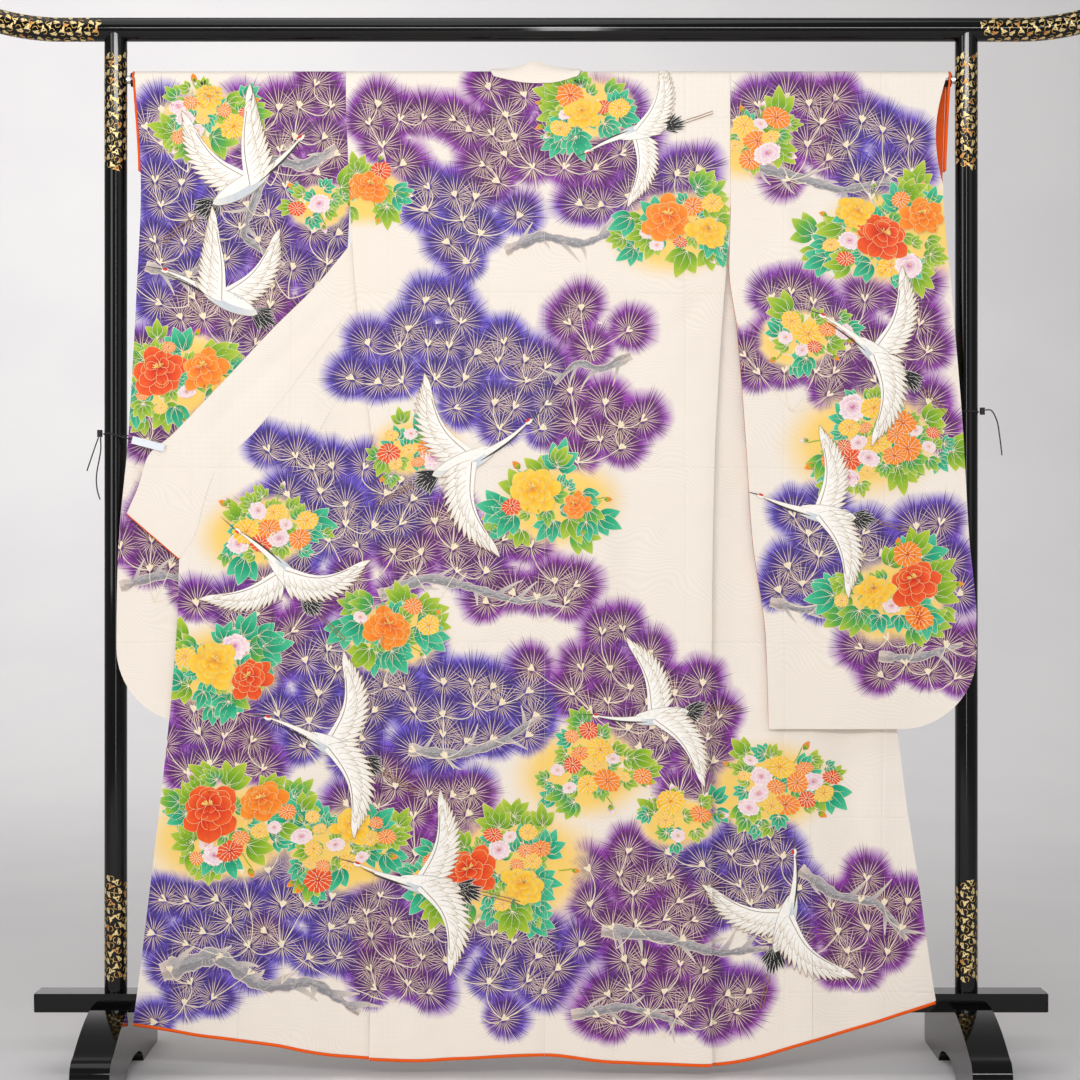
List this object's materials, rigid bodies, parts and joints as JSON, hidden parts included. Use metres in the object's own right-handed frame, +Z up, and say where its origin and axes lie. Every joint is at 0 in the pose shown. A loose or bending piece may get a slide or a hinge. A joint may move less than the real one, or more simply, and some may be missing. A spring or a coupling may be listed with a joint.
{
  "type": "furisode on a kimono stand",
  "caption": "Long-sleeved formal kimono hung over a rod with its back outward on a lacquered rail stand, both fronts opened out to the sides.",
  "frame": {"origin": "on the floor under the middle of the stand", "axes": "+X along the stand to the viewer's right, +Z up, the garment's outside back faces -Y"},
  "size_m": [1.9541, 0.5, 1.8008],
  "materials": {
    "silk": "soft sheen silk with a woven self pattern and a painted design",
    "lining_silk": "plain silk",
    "lacquered_wood": "gloss black lacquer with gold scroll work near the ends of its poles",
    "pin_steel": "polished",
    "clip_plastic": "smooth",
    "elastic": "matte"
  },
  "bodies": {
    "root": {"back_left": "silk", "back_right": "silk", "front_left": "silk", "front_left_inner": "silk", "front_right": "silk", "front_right_inner": "silk", "okumi_left": "silk", "okumi_right": "silk", "collar_left": "silk", "collar_neck": "silk", "collar_right": "silk", "sleeve_left_back": "silk", "sleeve_left_front": "silk", "sleeve_right_back": "silk", "sleeve_right_front": "silk", "cuff_lining_left": "lining_silk", "cuff_lining_right": "lining_silk", "hem_lining_left": "lining_silk", "hem_lining_back_left": "lining_silk", "hem_lining_back_right": "lining_silk", "hem_lining_right": "lining_silk", "rail": "lacquered_wood", "upright_left": "lacquered_wood", "upright_right": "lacquered_wood", "crossbar": "lacquered_wood", "foot_left": "lacquered_wood", "foot_right": "lacquered_wood", "garment_rod": "lacquered_wood", "rod_pin_left": "pin_steel", "rod_pin_right": "pin_steel", "clip_left": "clip_plastic", "clip_right": "clip_plastic", "tie_left": "elastic", "tie_right": "elastic", "bead_left": "elastic", "bead_right": "elastic", "tie_left_end_short": "elastic", "tie_left_end_long": "elastic", "tie_right_end": "elastic"}
  },
  "joints": []
}
